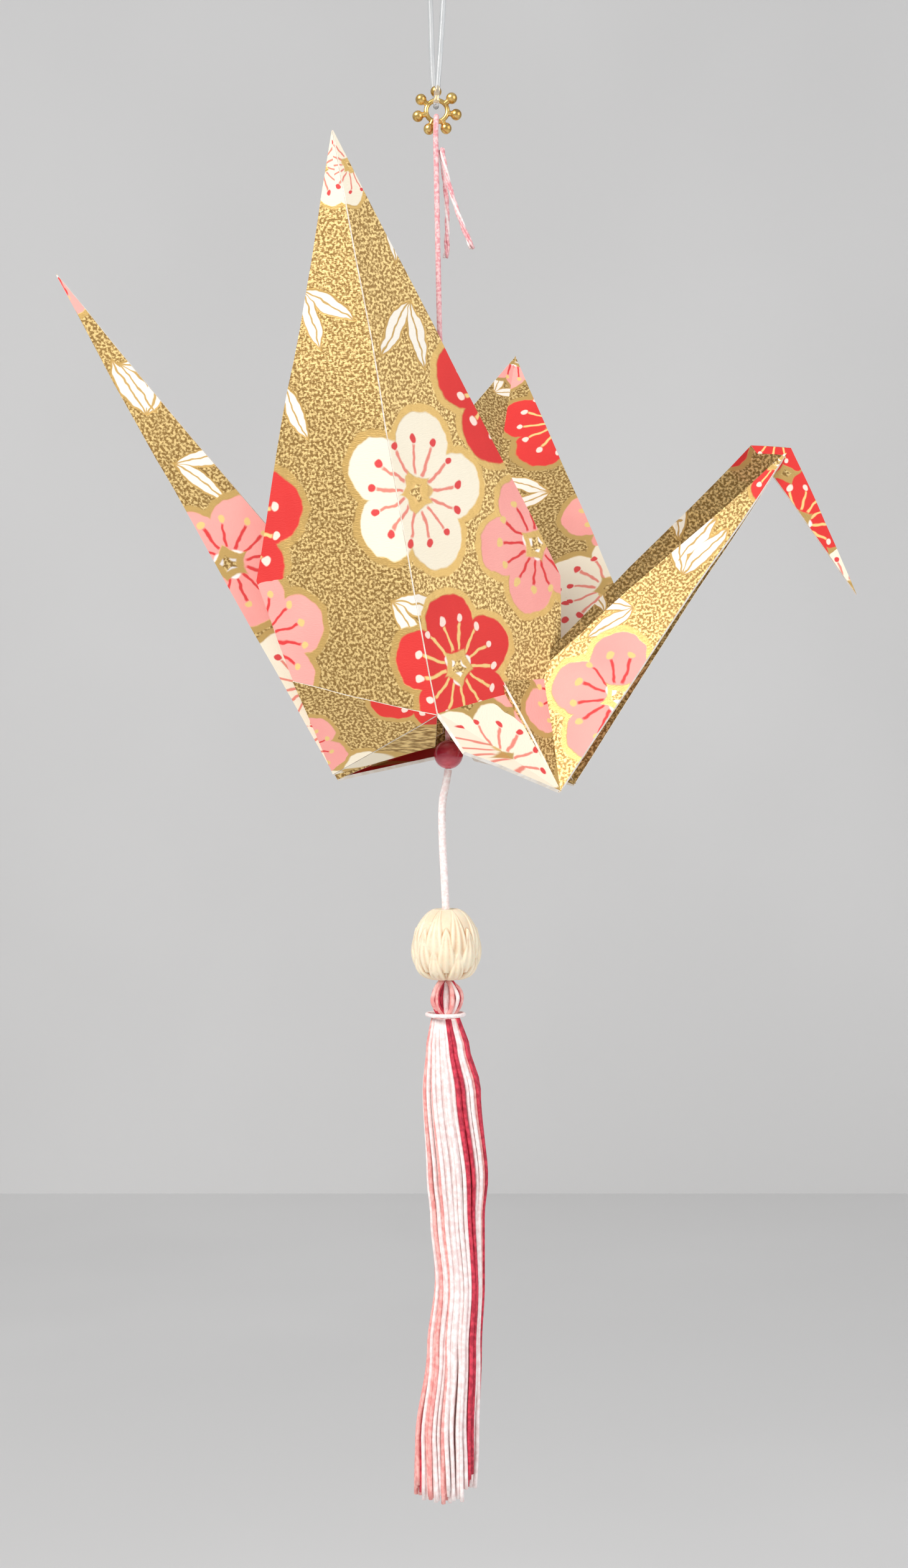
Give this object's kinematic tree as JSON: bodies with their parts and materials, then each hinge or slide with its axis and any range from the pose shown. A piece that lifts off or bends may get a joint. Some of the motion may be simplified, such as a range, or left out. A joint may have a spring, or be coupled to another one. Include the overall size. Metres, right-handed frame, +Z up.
{
  "type": "origami crane",
  "caption": "Folded paper crane ornament that hangs on a cord from a clear loop, with a gold spacer ring above it and a small bead, a carved bead and a thread tassel below.",
  "frame": {"origin": "crown of the clear line's hanging loop", "axes": "+Z up, +X towards the crane's head, +Y away from the near wing, the one that stands upright"},
  "size_m": [0.1017, 0.0612, 0.1972],
  "materials": {
    "clear_line": "clear drawn nylon line",
    "gold": "polished gold coloured casting",
    "pink_cord": "twisted cotton cord",
    "washi": "printed washi paper with metallic gold ink, plum blossom pattern",
    "red_glaze": "glossy bead, slightly translucent",
    "ivory": "carved cream resin with tan stain in its cuts",
    "tassel_thread": "stranded cotton threads in pink, pale pink and red"
  },
  "bodies": {
    "root": {"hang_loop": "clear_line", "spacer_ring": "gold", "upper_cord": "pink_cord", "cord_tails": "pink_cord", "paper_crane": "washi", "red_bead": "red_glaze", "lower_cord": "pink_cord", "lotus_bead": "ivory", "tassel_head": "tassel_thread", "tassel_tie": "tassel_thread", "tassel_skirt": "tassel_thread"}
  },
  "joints": []
}
